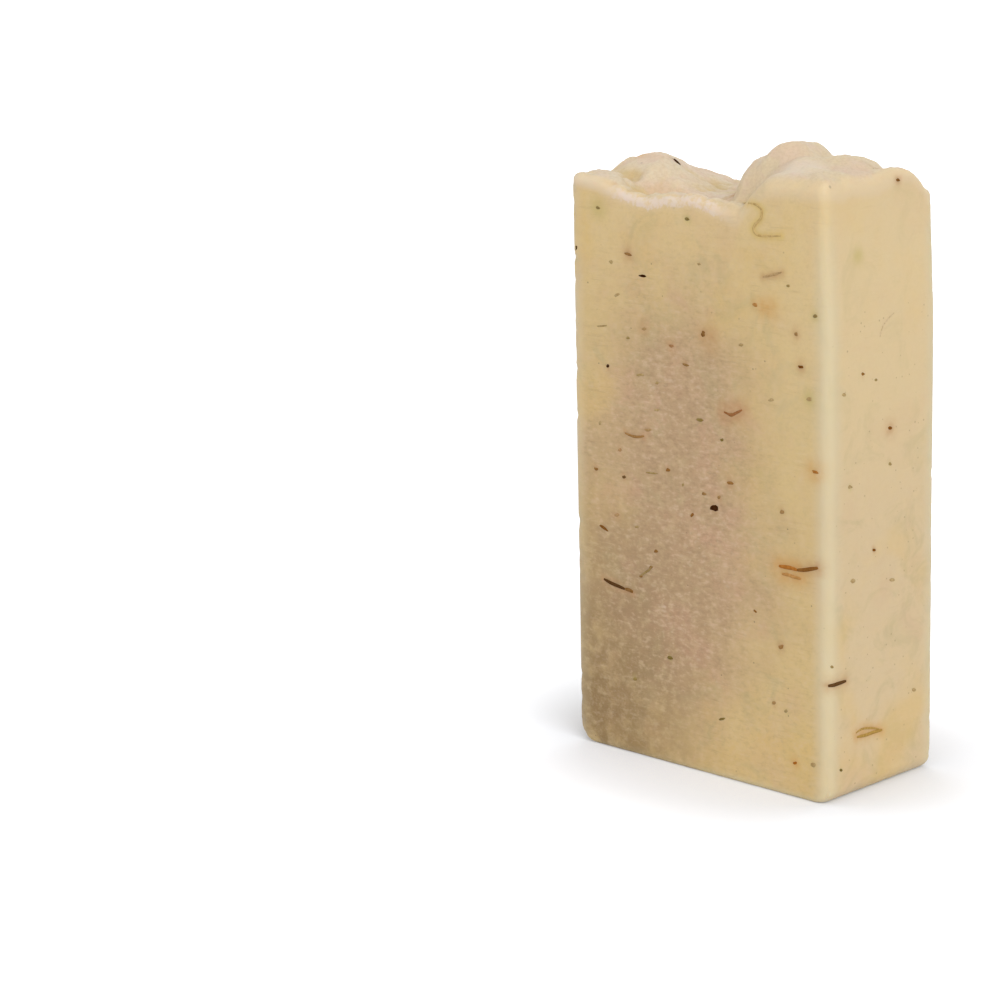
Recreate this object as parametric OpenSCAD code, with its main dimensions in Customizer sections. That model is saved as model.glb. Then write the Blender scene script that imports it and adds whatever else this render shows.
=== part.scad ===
// Hand-cut bar of soap, standing on its cut base with the rough poured top of the loaf upwards.
// The soap was poured into a loaf mould, where its top set in lumps and crests. Straight cuts then
// freed this bar, so five of its sides are flat cut faces with softened edges, and the sixth is a
// piece of the loaf's top.
// The origin is at the middle of the base. X runs along the broad cut faces, Y through the
// thickness, and Z up the bar.

/* [Cut faces] */
// Width of the broad cut faces
bar_w = 53.2; // [35:0.1:80]
// Thickness between the two broad faces
bar_t = 26.4; // [18:0.1:45]
// Height of the bar at the lowest dip of its rim
bar_h = 90.7; // [60:0.1:130]

/* [Softened edges] */
// Radius of the four upright edges
edge_r = 1.6; // [0.6:0.1:4]
// Radius of the long edges of the base
foot_r = 0.9; // [0.4:0.1:3]
// Radius of the short edge of the base on the left, which is the most worn
left_foot_r = 3.6; // [0.4:0.1:6]
// Radius of the short edge of the base on the right
right_foot_r = 2.6; // [0.4:0.1:6]
// Radius of the rim, where the cut faces meet the poured top
rim_r = 1.5; // [0.4:0.1:2.5]

/* [Poured top] */
// Height of the highest crest above the lowest dip of the rim
relief = 9; // [4:0.1:16]
// Distance that the set surface is swirled sideways
swirl = 1.6; // [0:0.1:2.5]
// Size of one swirl
swirl_w = 8; // [6:0.1:14]
// Height of the small lumps
lump_h = 0.7; // [0:0.05:1.5]
// Spacing of the small lumps
lump_w = 6.5; // [4:0.1:12]
// Height of the fine folds in the skin
fold_h = 0.3; // [0:0.05:1]
// Spacing of the fine folds
fold_w = 3.2; // [2.5:0.1:6]
// Choice of the pattern of lumps, folds and swirls
pour = 3; // [1:1:40]

/* [Hidden] */

$fn = 64;

// Distance between the points on the poured surface
grid = 0.7;
// Steps in which the rim rounds over
rim_steps = 3;
// How far the loaf reaches past the cuts before it is trimmed
waste = 1;
// How softly neighbouring mounds run into each other: a higher number keeps them more apart
blend = 5;
// Slant of the lumps and of the folds across the bar
lump_slant = [0.35, -0.3];
fold_slant = [-0.5, 0.4];
// A finer swirl rides on the main one: its share of the main one's distance and size
fine_swirl = 0.4;
// Layers of the random pattern, one for each use
LUMPS = 0;
FOLDS = 4;
SWIRL_X = 8;
SWIRL_Y = 10;
FINE_X = 14;
FINE_Y = 16;

// Mounds of poured soap. Places and radii are shares of half the width and half the thickness,
// heights are shares of the relief. The last value is the fullness: 2 is a plain dome, and more
// is flatter on top with steeper flanks.
// x, y, radius along x, radius along y, height, fullness
MOUNDS = [
    [-1.02, -0.90, 0.54, 0.78, 0.34, 2.0], // crest at the front left corner
    [ 0.00, -0.95, 0.68, 0.36, 0.14, 2.0], // low crest along the front rim
    [-0.77,  0.18, 0.42, 0.96, 0.58, 1.25], // peaked mound at the back left
    [ 0.90, -0.90, 0.54, 1.24, 0.68, 4.0], // shelf at the front right corner
    [ 0.56, -0.34, 0.38, 0.56, 0.76, 2.0], // slope from the shelf up to the lumps
    [ 0.25,  0.06, 0.21, 0.76, 0.72, 5.0], // left shoulder of the main lump
    [ 0.37,  0.02, 0.20, 0.76, 0.98, 3.0], // main lump
    [ 0.64,  0.26, 0.35, 0.80, 0.83, 2.3], // second lump, behind and to the right
    [ 0.97,  0.36, 0.27, 0.72, 0.69, 2.6], // shoulder over the narrow face
];

// Hollows, written the same way, with their depth in place of a height
HOLLOWS = [
    [-0.33, -0.46, 0.56, 0.22, 0.20, 2.0], // furrow behind the front rim
    [-0.85,  0.95, 0.30, 0.50, 0.14, 2.0], // dip in the back rim
    [ 0.96, -0.36, 0.34, 0.24, 0.05, 2.0], // furrow between the shelf and the second lump
    [ 0.33,  0.92, 0.29, 0.26, 0.20, 2.0], // pit behind the main lump
    [ 1.18,  1.44, 0.35, 0.75, 0.64, 2.0], // worn back right corner
];

// A number from 0 to 1 that belongs to one point of a lattice
function chance(i, j, layer) =
    let (s = sin(i * 127.1 + j * 311.7 + (layer + pour) * 74.7) * 43758.5453)
    s - floor(s);

function ease(t) = t * t * (3 - 2 * t);

function mix(a, b, t) = a + (b - a) * t;

// Smooth random surface from -1 to 1 whose hills are one cell apart
function hills(x, y, cell, layer) =
    let (
        i = floor(x / cell),
        j = floor(y / cell),
        s = ease(x / cell - i),
        t = ease(y / cell - j),
        low = mix(chance(i, j, layer), chance(i + 1, j, layer), s),
        high = mix(chance(i, j + 1, layer), chance(i + 1, j + 1, layer), s)
    )
    2 * mix(low, high, t) - 1;

// Height share of one mound or hollow at a point
function dome(x, y, m) =
    let (
        across = (x * 2 / bar_w - m[0]) / m[2],
        through = (y * 2 / bar_t - m[1]) / m[3]
    )
    m[4] * max(0, 1 - pow(norm([across, through]), m[5]));

function sum(v, i = 0) = i < len(v) ? v[i] + sum(v, i + 1) : 0;

// Mounds run together, so the highest one leads and its neighbours add a little
function merged(x, y) = pow(sum([for (m = MOUNDS) pow(dome(x, y, m), blend)]), 1 / blend);

function hollowed(x, y) = sum([for (m = HOLLOWS) dome(x, y, m)]);

// Lumps run aslant, and the folds between them form sharp little crests
function skin(x, y) =
    let (
        lump = hills(x + lump_slant[0] * y, y + lump_slant[1] * x, lump_w, LUMPS),
        fold = hills(x + fold_slant[0] * y, y + fold_slant[1] * x, fold_w, FOLDS)
    )
    lump_h * lump + fold_h * (1 - 2 * abs(fold));

// How far the surface at a point has been swirled sideways along one axis
function drift(x, y, main, fine) =
    swirl * (hills(x, y, swirl_w, main) + fine_swirl * hills(x, y, fine_swirl * swirl_w, fine));

// Distance of a point inside the nearest cut face, below zero outside
function inside(x, y) =
    let (
        past_x = abs(x) - (bar_w / 2 - edge_r),
        past_y = abs(y) - (bar_t / 2 - edge_r)
    )
    edge_r - norm([max(past_x, 0), max(past_y, 0)]) - min(max(past_x, past_y), 0);

// How far the rim has rounded down at that distance
function rim_drop(distance) =
    let (t = 1 - min(max(distance / rim_r, 0), 1))
    rim_r * (1 - sqrt(1 - t * t));

// Height of the poured surface above the base
function poured_z(x, y) =
    let (
        sx = x + drift(x, y, SWIRL_X, FINE_X),
        sy = y + drift(x, y, SWIRL_Y, FINE_Y)
    )
    bar_h + relief * (merged(sx, sy) - hollowed(sx, sy)) + skin(sx, sy) - rim_drop(inside(x, y));

// Grid lines across one side of the loaf: past the cut, close together round the rim, then even
function lines(side) =
    let (
        inner = side / 2 - rim_r,
        n = ceil(2 * inner / grid),
        rim = [for (k = [0:rim_steps - 1]) inner + rim_r * cos(90 * (k + 0.5) / rim_steps)]
    )
    concat(
        [-side / 2 - waste],
        [for (r = rim) -r],
        [for (i = [0:n]) mix(-inner, inner, i / n)],
        [for (k = [rim_steps - 1:-1:0]) rim[k]],
        [side / 2 + waste]
    );

// The piece of the loaf round the bar: a block whose top is the poured surface
module loaf() {
    xs = lines(bar_w);
    ys = lines(bar_t);
    nx = len(xs) - 1;
    ny = len(ys) - 1;
    row = nx + 1;
    count = row * (ny + 1);
    top = [for (y = ys, x = xs) [x, y, poured_z(x, y)]];
    // The underside has one corner below each corner of the top
    corners = [0, nx, count - 1, count - row];
    under = [for (c = corners) [top[c][0], top[c][1], -waste]];
    faces = [
        for (j = [0:ny - 1], i = [0:nx - 1])
            let (a = j * row + i, b = a + 1, c = a + row, d = c + 1)
            each [[a, c, d], [a, d, b]]
    ];
    front = [for (i = [0:nx]) i];
    right = [for (j = [0:ny]) j * row + nx];
    back = [for (i = [nx:-1:0]) ny * row + i];
    left = [for (j = [ny:-1:0]) j * row];
    polyhedron(
        concat(top, under),
        concat(
            faces,
            [concat(front, [count + 1, count])],
            [concat(right, [count + 2, count + 1])],
            [concat(back, [count + 3, count + 2])],
            [concat(left, [count, count + 3])],
            [[count, count + 1, count + 2, count + 3]]
        ),
        convexity = 6
    );
}

// Rectangle with rounded corners, centred on the origin
module rounded_plan(w, t, r) {
    square([w - 2 * r, t], center = true);
    square([w, t - 2 * r], center = true);
    for (sx = [-1, 1], sy = [-1, 1])
        translate([sx * (w / 2 - r), sy * (t / 2 - r)]) circle(r);
}

// Upright face of the bar seen square on: straight sides, and a radius for each lower corner
module face_outline(w, h, left_r, right_r) {
    hull() {
        translate([-w / 2, h / 2]) square([w, h / 2]);
        translate([left_r - w / 2, left_r]) circle(left_r);
        translate([w / 2 - right_r, right_r]) circle(right_r);
    }
}

// The block that the straight cuts leave, taller than any crest
module cut_block() {
    h = bar_h + 2 * relief;
    intersection() {
        linear_extrude(h) rounded_plan(bar_w, bar_t, edge_r);
        rotate([90, 0, 0])
            linear_extrude(bar_t, center = true) face_outline(bar_w, h, left_foot_r, right_foot_r);
        rotate([90, 0, 90])
            linear_extrude(bar_w, center = true) face_outline(bar_t, h, foot_r, foot_r);
    }
}

module soap_bar() {
    color([0.85, 0.74, 0.56])
        intersection() {
            cut_block();
            loaf();
        }
}

soap_bar();
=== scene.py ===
"""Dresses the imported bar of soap: its surface in fine detail, the herbs cast into it, its materials,
the camera and the light. Lengths are in metres, in the part's own frame, unless a name says otherwise."""

import math
import random

import bpy
import numpy as np
from mathutils import Matrix, Vector, noise
from mathutils.bvhtree import BVHTree


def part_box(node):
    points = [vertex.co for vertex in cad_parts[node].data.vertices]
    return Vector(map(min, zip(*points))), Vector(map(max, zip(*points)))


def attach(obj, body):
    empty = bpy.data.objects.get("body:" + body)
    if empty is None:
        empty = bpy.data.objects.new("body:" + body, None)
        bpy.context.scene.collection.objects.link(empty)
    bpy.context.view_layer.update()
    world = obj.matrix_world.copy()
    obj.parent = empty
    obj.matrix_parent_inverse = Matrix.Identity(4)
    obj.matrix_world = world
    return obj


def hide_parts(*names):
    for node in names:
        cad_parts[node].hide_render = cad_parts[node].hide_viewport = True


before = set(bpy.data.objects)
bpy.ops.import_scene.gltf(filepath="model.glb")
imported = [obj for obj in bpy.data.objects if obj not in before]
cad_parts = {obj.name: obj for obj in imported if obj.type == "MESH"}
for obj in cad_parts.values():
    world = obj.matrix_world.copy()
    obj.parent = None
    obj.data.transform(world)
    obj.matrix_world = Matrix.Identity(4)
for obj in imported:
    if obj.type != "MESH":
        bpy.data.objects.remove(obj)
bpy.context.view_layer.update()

MM = 0.001
UP = Vector((0, 0, 1))

# The bar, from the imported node
NODE = "soap_bar"
low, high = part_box(NODE)
HALF_X, HALF_Y, TOP = high.x, high.y, high.z
BAR_H = 90.7 * MM
EDGE_R = 1.6 * MM
FOOT_R = 0.9 * MM
LEFT_FOOT_R = 3.6 * MM
RIGHT_FOOT_R = 2.6 * MM
RIM_R = 1.5 * MM
# The rim at the front right is worn rounder
SOFT_RIM_R = 2.6 * MM
# The crumbling crest runs along the low rim between these two places
CREST_FROM, CREST_TO = -17 * MM, 5 * MM

# The right narrow face leans in towards its rim, by this much and over this height
LEAN = 0.8 * MM
LEAN_BAND = 20 * MM
# Width along each face over which a side that is drawn in takes its neighbour's points with it
SPREAD = 8 * MM

# The photograph's camera: its place, the way it looks, its right-hand side and its focal length
CAMERA_AT = Vector((333.3, -388.3, 165.6)) * MM
LOOK = Vector((-0.6891, 0.6860, -0.2337)).normalized()
RIGHT = Vector((0.7090, 0.7049, -0.0215))
CAMERA_UP = RIGHT.cross(LOOK)
PHOTO_PX = 1000
FOCAL_PX = 3300
SENSOR_MM = 36

# How far the middle of the cut base is hollow
BASE_HOLLOW = 0.12 * MM
# Width of the ring round it on which the bar stands, up to where the hollow is deepest
BASE_RING = 5.5 * MM

# The poured top's detail stays this far below the highest crest, and fades over this height below that
CREST_ROOM, CREST_FADE = 0.05 * MM, 0.7 * MM

# Spacing of the visual mesh
TOP_PITCH = 0.36 * MM
FACE_PITCH = 0.95 * MM
RIM_PITCH = 0.40 * MM
RIM_BAND = 12 * MM
ROUND_STEPS = 6
FOOT_STEPS = 14

# Layers of the random pattern, one for each use
WAVES, RIPPLES, LOSSES, RIM, DRIFT_X, DRIFT_Y = 1, 2, 3, 4, 5, 6
FOLDS, GRAIN, BLOBS, SMALL_BLOBS, TORN = 8, 9, 10, 11, 12

# Slow waves and finer ripples in the cut faces, and the small losses along their edges
WAVE_H, WAVE_W = 0.05 * MM, 16 * MM
RIPPLE_H, RIPPLE_W = 0.012 * MM, 3.5 * MM
LOSS_H, LOSS_W = 0.34 * MM, 1.9 * MM

# Blobs of two sizes in the poured top, where it is smooth and what is added where it is torn
BLOB_H, TORN_BLOB_H, BLOB_W = 0.10 * MM, 0.24 * MM, 4.2 * MM
SMALL_BLOB_H, TORN_SMALL_BLOB_H, SMALL_BLOB_W = 0.05 * MM, 0.07 * MM, 1.7 * MM
TORN_W = 7 * MM
# Folds and grain between them, and how far all of it is swirled sideways
FOLD_H, FOLD_W = 0.16 * MM, 2.1 * MM
GRAIN_H, GRAIN_W = 0.07 * MM, 0.8 * MM
SWIRL, SWIRL_W = 1.5 * MM, 5 * MM

# Herbs that the photograph shows on the two faces in view, and on the left mound: the pixel of each
# one's middle, its length and width in pixels, how far it rises to the right in degrees, its kind,
# how deep it lies in the soap from 0 to 1, and the reach of its stain in millimetres
SEEN_HERBS = [
    (576, 248, 6, 3.0, 80, "dark", 0.1, 0.0),
    (643, 276, 10, 3.2, -10, "dark", 0.0, 0.0),
    (628, 254, 10, 3.4, -18, "brown", 0.3, 1.2),
    (598, 208, 5, 3.6, -20, "leaf", 0.2, 1.8),
    (611, 262, 4, 4.0, 0, "leaf", 0.6, 0.0),
    (687, 219, 7, 3.8, -20, "leaf", 0.1, 0.6),
    (699, 264, 4, 3.0, 0, "leaf", 0.6, 0.0),
    (617, 295, 6, 3.0, 30, "leaf", 0.75, 0.0),
    (602, 326, 12, 2.0, 4, "leaf", 0.5, 0.0),
    (628, 338, 4, 3.4, 0, "leaf", 0.3, 0.0),
    (608, 366, 4, 4.2, 0, "dark", 0.0, 0.3),
    (644, 329, 5, 3.6, 0, "brown", 0.7, 1.0),
    (671, 346, 6, 3.6, -10, "rust", 0.4, 0.9),
    (686, 365, 8, 3.0, -18, "brown", 0.4, 0.5),
    (703, 334, 5, 7.0, 0, "brown", 0.15, 1.2),
    (731, 415, 5, 4.4, -10, "brown", 0.25, 0.8),
    (640, 375, 9, 3.2, 0, "leaf", 0.6, 0.0),
    (657, 383, 4, 3.4, 0, "leaf", 0.7, 0.0),
    (755, 305, 6, 4.6, -20, "orange", 0.3, 0.8),
    (788, 286, 4, 3.4, 0, "leaf", 0.3, 0.0),
    (815, 316, 5, 4.4, 0, "leaf", 0.2, 0.8),
    (796, 334, 4, 4.6, 0, "brown", 0.5, 0.8),
    (801, 367, 8, 4.0, -15, "brown", 0.0, 0.9),
    (809, 399, 6, 4.6, 0, "leaf", 0.7, 1.2),
    (771, 400, 6, 3.6, 0, "leaf", 0.8, 0.0),
    (648, 430, 8, 3.0, 0, "brown", 0.7, 0.6),
    (657, 410, 5, 3.0, 0, "leaf", 0.75, 0.0),
    (700, 420, 8, 4.2, -12, "leaf", 0.1, 0.3),
    (741, 345, 5, 3.6, 0, "leaf", 0.6, 0.0),
    (641, 576, 4, 3.6, 0, "brown", 0.2, 0.3),
    (651, 567, 4, 3.4, 0, "brown", 0.3, 0.0),
    (722, 440, 4, 4.0, 0, "leaf", 0.0, 0.0),
    (620, 450, 4, 3.6, 0, "rust", 0.6, 0.5),
    (600, 423, 3, 4.0, 0, "leaf", 0.6, 0.0),
    (596, 469, 6, 3.4, -25, "brown", 0.2, 0.6),
    (624, 477, 5, 3.8, 0, "dark", 0.25, 0.4),
    (652, 473, 14, 2.4, -6, "leaf", 0.45, 0.0),
    (668, 470, 5, 4.4, -30, "brown", 0.15, 0.6),
    (683, 485, 3, 3.6, 0, "leaf", 0.4, 0.0),
    (704, 494, 5, 4.0, -20, "brown", 0.4, 0.0),
    (719, 497, 4, 3.6, 0, "brown", 0.5, 0.5),
    (730, 483, 8, 4.2, -12, "brown", 0.2, 0.8),
    (714, 508, 12, 7.6, -4, "dark", 0.0, 0.6),
    (692, 515, 5, 3.6, 60, "brown", 0.1, 0.0),
    (617, 515, 5, 3.6, 0, "rust", 0.7, 0.8),
    (604, 528, 14, 3.4, -36, "brown", 0.05, 0.3),
    (637, 527, 4, 3.0, 0, "leaf", 0.6, 0.0),
    (656, 551, 5, 4.2, 0, "brown", 0.25, 0.3),
    (815, 472, 8, 4.0, -25, "orange", 0.1, 1.6),
    (782, 512, 5, 4.6, 0, "brown", 0.6, 0.5),
    (755, 611, 6, 2.6, -45, "brown", 0.1, 0.2),
    (781, 647, 6, 5.0, 0, "brown", 0.35, 0.8),
    (670, 658, 8, 4.2, -22, "leaf", 0.0, 0.4),
    (635, 679, 5, 3.8, 0, "leaf", 0.2, 0.4),
    (722, 719, 8, 3.4, 18, "leaf", 0.05, 0.0),
    (774, 703, 4, 4.6, 0, "brown", 0.5, 0.4),
    (786, 711, 4, 4.0, 0, "leaf", 0.5, 0.4),
    (795, 763, 5, 4.0, -10, "orange", 0.0, 0.9),
    (898, 180, 5, 3.6, -20, "brown", 0.1, 0.8),
    (863, 374, 4, 4.2, 0, "brown", 0.1, 0.4),
    (876, 380, 4, 3.2, -30, "leaf", 0.3, 0.0),
    (844, 395, 4, 3.6, 0, "leaf", 0.7, 0.0),
    (890, 428, 5, 5.2, 70, "brown", 0.0, 1.2),
    (890, 464, 4, 3.4, 0, "leaf", 0.4, 0.3),
    (850, 487, 5, 3.4, 0, "leaf", 0.7, 0.4),
    (874, 550, 4, 4.0, 0, "brown", 0.0, 0.4),
    (853, 581, 5, 4.0, 40, "leaf", 0.8, 0.0),
    (892, 580, 5, 3.6, 0, "leaf", 0.8, 0.0),
    (832, 667, 4, 4.0, 0, "leaf", 0.3, 0.0),
    (914, 690, 5, 4.0, 0, "leaf", 0.75, 0.3),
    (932, 551, 3, 4.4, 90, "brown", 0.1, 0.0),
    (841, 770, 4, 4.0, 0, "leaf", 0.0, 0.3),
    (813, 765, 5, 5.0, 0, "leaf", 0.7, 0.3),
]

# Fibres: the pixels that each one passes, its width in pixels, kind, depth and stain as above
SEEN_FIBRES = [
    ([(674, 159), (676, 161), (678, 163), (680, 165)], 4.4, "dark", 0.0, 0.0),
    ([(744, 203), (754, 204), (761, 209), (761, 218), (754, 226), (754, 232), (761, 236), (781, 236)],
     3.2, "honey", 0.65, 0.65),
    ([(763, 277), (769, 276), (776, 274), (782, 272)], 2.6, "brown", 0.75, 0.6),
    ([(625, 433), (632, 436), (638, 437), (644, 436)], 3.2, "brown", 0.35, 0.4),
    ([(724, 412), (731, 415), (736, 413), (742, 410)], 3.4, "rust", 0.2, 1.7),
    ([(604, 579), (611, 583), (618, 586), (625, 589)], 4.4, "dark", 0.12, 0.6),
    ([(625, 589), (629, 590), (633, 592)], 4.4, "brown", 0.2, 0.5),
    ([(640, 576), (646, 572), (649, 570), (652, 566)], 2.6, "leaf", 0.35, 0.0),
    ([(779, 566), (785, 567), (791, 568), (797, 570)], 5.0, "orange", 0.05, 1.6),
    ([(797, 570), (804, 570), (811, 569), (818, 568)], 4.8, "brown", 0.05, 1.2),
    ([(782, 574), (788, 575), (794, 577), (801, 579)], 4.0, "orange", 0.4, 1.4),
    ([(828, 686), (834, 685), (840, 683), (846, 681)], 4.8, "dark", 0.15, 0.9),
    ([(856, 733), (862, 729), (871, 728), (879, 729)], 2.8, "gold", 0.2, 0.9),
    ([(857, 737), (866, 735), (874, 732), (882, 730)], 4.4, "gold", 0.1, 0.9),
    ([(880, 337), (883, 326), (889, 318), (894, 313)], 2.0, "pale", 0.2, 0.0),
]

# Herbs too deep to show but for their stains: the pixel, the kind and the reach in millimetres
SEEN_STAINS = [
    (709, 339, "rust", 2.0),
    (762, 307, "orange", 1.4),
    (770, 309, "orange", 1.6),
    (858, 256, "leaf", 1.3),
]

# How many more herbs lie on each side that the photograph doesn't show
HIDDEN_HERBS = {"back": 62, "left": 24, "top": 30, "base": 14}
HERB_SEED = 11

HERB_COLOURS = {
    "dark": (62, 32, 6),
    "brown": (124, 78, 30),
    "rust": (140, 80, 42),
    "orange": (182, 112, 42),
    "gold": (192, 152, 70),
    "honey": (216, 180, 92),
    "leaf": (128, 110, 60),
    "pale": (228, 206, 172),
}
# What a herb's colour is multiplied by where it is mottled
HERB_MOTTLE = (205, 190, 165)
# The kind of stain that each kind of herb leaves
STAIN_OF = {"dark": "rust", "brown": "rust", "rust": "rust", "orange": "gold", "gold": "gold",
            "honey": "honey", "leaf": "leaf", "pale": "leaf"}
# Colour of the soap over a herb that lies deep in it
SOAP_COLOUR = (204, 176, 130)

# Colours of the soap, from 0 to 255, some of which paint light and shade on it
SOAP_TONES = {
    "golden": (215, 187, 130),
    "core": (189, 157, 118),
    # painted light near the top
    "crown": (224, 197, 144),
    "narrow side": (215, 191, 151),
    "pink": (205, 161, 131),
    "moss": (184, 167, 120),
    "honey": (218, 184, 112),
    "pale right": (227, 202, 150),
    # painted shade, low on the left
    "painted_shade": (136, 107, 61),
    "grain": (172, 140, 102),
    "fleece": (224, 200, 156),
    "dark blotch": (158, 130, 92),
    "pale blotch": (220, 192, 160),
    "dark line": (160, 128, 90),
    "pale line": (228, 206, 166),
    "frost": (222, 202, 172),
    "speck": (118, 94, 56),
    "fine speck": (138, 104, 66),
    "skin": (221, 203, 174),
    "pit": (211, 186, 138),
    "blush": (219, 192, 170),
    "skin grain": (190, 164, 128),
    "skin speck": (124, 100, 60),
    # painted highlight on the poured top
    "glow": (231, 216, 200),
    # painted edge light on the rounded upright edges
    "edge light": (214, 201, 166),
    "rim": (224, 205, 178),
    "crest": (226, 208, 193),
    "rust stain": (190, 142, 92),
    "gold stain": (208, 156, 82),
    "honey stain": (216, 182, 92),
    "leaf stain": (186, 168, 84),
}

FLOOR_COLOUR = (229, 231, 236)
# Light that the camera sees in the floor, far from the bar and close to its foot, where the lower value
# paints a shadow
FLOOR_GLOW = 0.56
CONTACT_GLOW = 0.14
# How far the painted shadow at the foot reaches, and how fast it fades
CONTACT_REACH = 30 * MM
CONTACT_POWER = 2.5
CONTACT_SAMPLES = 6
FLOOR_SIZE = 6.0

# Strength of the even light from all round
WORLD_LIGHT = 0.42
# Lamps far away: the way to each, how wide it looks in degrees, and its strength
LAMPS = {
    "key": ((0.74, -0.35, 0.57), 50, 1.75),
    "fill": ((-0.48, -0.79, 0.37), 70, 0.64),
    "back": ((-0.35, 0.75, 0.56), 70, 0.40),
}


def linear(colour):
    """Linear RGBA of an sRGB colour from 0 to 255."""
    parts = [v / 255 for v in colour]
    return [p / 12.92 if p <= 0.04045 else ((p + 0.055) / 1.055) ** 2.4 for p in parts] + [1.0]


def smoothstep(a, b, value):
    t = np.clip((value - a) / (b - a), 0, 1)
    return t * t * (3 - 2 * t)


def hills(points, size, seed, octaves=1):
    """Smooth random values of about -1 to 1 at points, with hills of that size."""
    shift = Vector((17.3, 5.1, 9.7)) * seed
    return np.array([noise.fractal(Vector(p) / size + shift, 1.0, 2.0, octaves) for p in points])


def blurred(heights, pitch, radius):
    """Heights on an even grid, smoothed over a radius."""
    reach = max(1, round(3 * radius / pitch))
    weights = np.exp(-0.5 * (np.arange(-reach, reach + 1) * pitch / radius) ** 2)
    weights /= weights.sum()
    for axis in (0, 1):
        pad = [(reach, reach) if a == axis else (0, 0) for a in (0, 1)]
        wide = np.pad(heights, pad, mode="edge")
        heights = np.apply_along_axis(lambda line: np.convolve(line, weights, "valid"), axis, wide)
    return heights


class PouredTop:
    """The poured top's height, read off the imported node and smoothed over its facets. Past the line where
    the rim starts to round over, it keeps the height that it has there."""

    PITCH = 0.3 * MM
    FACET_BLUR = 0.35 * MM
    FORM_BLUR = 2.2 * MM

    def __init__(self, node):
        tree = BVHTree.FromObject(node, bpy.context.evaluated_depsgraph_get())
        self.x = np.arange(-HALF_X + RIM_R, HALF_X - RIM_R + self.PITCH / 2, self.PITCH)
        self.y = np.arange(-HALF_Y + RIM_R, HALF_Y - RIM_R + self.PITCH / 2, self.PITCH)
        rows = [[self.cast(tree, x, y) for x in self.x] for y in self.y]
        self.heights = blurred(np.array(rows), self.PITCH, self.FACET_BLUR)
        self.form = blurred(self.heights, self.PITCH, self.FORM_BLUR)

    @staticmethod
    def cast(tree, x, y):
        return tree.ray_cast(Vector((x, y, 2 * TOP)), -UP)[0].z

    def at(self, table, x, y):
        """Value of a table of heights at points, by linear steps between its own."""
        u = np.clip((x - self.x[0]) / self.PITCH, 0, len(self.x) - 1.001)
        v = np.clip((y - self.y[0]) / self.PITCH, 0, len(self.y) - 1.001)
        i, j = u.astype(int), v.astype(int)
        s, t = u - i, v - j
        near = table[j, i] * (1 - s) + table[j, i + 1] * s
        far = table[j + 1, i] * (1 - s) + table[j + 1, i + 1] * s
        return near * (1 - t) + far * t


def grid_lines(half):
    """Places of the mesh lines across one side: close together where the rim rounds over, then even."""
    inner = half - RIM_R
    rim = inner + RIM_R * np.sin(np.linspace(math.pi / 2, 0, ROUND_STEPS, endpoint=False))
    middle = np.linspace(-inner, inner, round(2 * inner / TOP_PITCH) + 1)
    return np.concatenate([-rim, middle, rim[::-1]])


def rounded_plan(x, y):
    """Points of a plan with square corners, moved to the plan with round corners."""
    u, v = np.abs(x) - (HALF_X - EDGE_R), np.abs(y) - (HALF_Y - EDGE_R)
    squeeze = np.where((u > 0) & (v > 0), np.maximum(u, v) / np.maximum(np.hypot(u, v), 1e-12), 1)
    new_x = np.where(u > 0, np.sign(x) * (HALF_X - EDGE_R + u * squeeze), x)
    new_y = np.where(v > 0, np.sign(y) * (HALF_Y - EDGE_R + v * squeeze), y)
    return new_x, new_y


def rounded_inset(z, radius):
    """How far a rounded foot has drawn in at a height."""
    t = 1 - np.clip(z / radius, 0, 1)
    return radius * (1 - np.sqrt(1 - t * t))


def edge_share(x, y, reach=2.4 * MM):
    """1 on the rounded upright edges, fading to 0 on the flat faces."""
    u, v = np.abs(x) - (HALF_X - EDGE_R), np.abs(y) - (HALF_Y - EDGE_R)
    return smoothstep(-reach, 1.0 * MM, np.minimum(u, v))


def cut_wear(x, y, z):
    """How far the cut faces lie inside the plain block: slow waves, and small losses along the edges."""
    points = np.stack([x, y, z], -1)
    waves = WAVE_H * (1.6 + hills(points, WAVE_W, WAVES))
    waves = waves + RIPPLE_H * (1 + hills(points, RIPPLE_W, RIPPLES))
    edges = np.maximum(edge_share(x, y), smoothstep(2.5 * MM, 0.5 * MM, z))
    # The left, the back and the foot have lost the most
    rough = np.maximum(0.35 + 0.65 * smoothstep(0, -HALF_X, x), 0.9 * smoothstep(0, HALF_Y, y))
    rough = np.maximum(rough, 0.8 * smoothstep(3 * MM, 1 * MM, z))
    losses = LOSS_H * np.maximum(0, hills(points, LOSS_W, LOSSES, 2) - 0.1)
    return (waves + losses * edges * rough) * smoothstep(0, 0.6 * MM, z)


def worn(x, y, z):
    """Points of the plain block, moved to where the worn bar has them. Their height stays."""
    wear = cut_wear(x, y, z)
    lean = LEAN * smoothstep(BAR_H - LEAN_BAND, BAR_H + 2 * MM, z)
    in_x = wear + np.where(x < 0, rounded_inset(z, LEFT_FOOT_R), rounded_inset(z, RIGHT_FOOT_R) + lean)
    in_y = wear + rounded_inset(z, FOOT_R)
    px, py = rounded_plan(x, y)
    near_x = np.clip(1 - (HALF_X - np.abs(px)) / SPREAD, 0, 1)
    near_y = np.clip(1 - (HALF_Y - np.abs(py)) / SPREAD, 0, 1)
    return np.stack([px - np.sign(x) * in_x * near_x, py - np.sign(y) * in_y * near_y, z], -1)


def curds(points, size, seed):
    """Rounded blobs with creases between them, from about -1 in a crease to 1 on a blob."""
    shift = Vector((3.1, 7.7, 1.3)) * seed
    found = [noise.voronoi(Vector(p) / size + shift)[0] for p in points]
    near, second = np.array([f[0] for f in found]), np.array([f[1] for f in found])
    return 1 - 1.2 * near ** 2 - 1.1 * np.clip(1 - (second - near) / 0.30, 0, 1) ** 2


def level_points(x, y):
    """Points on the plane of the base."""
    return np.stack([x, y, np.zeros_like(x)], -1)


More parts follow.
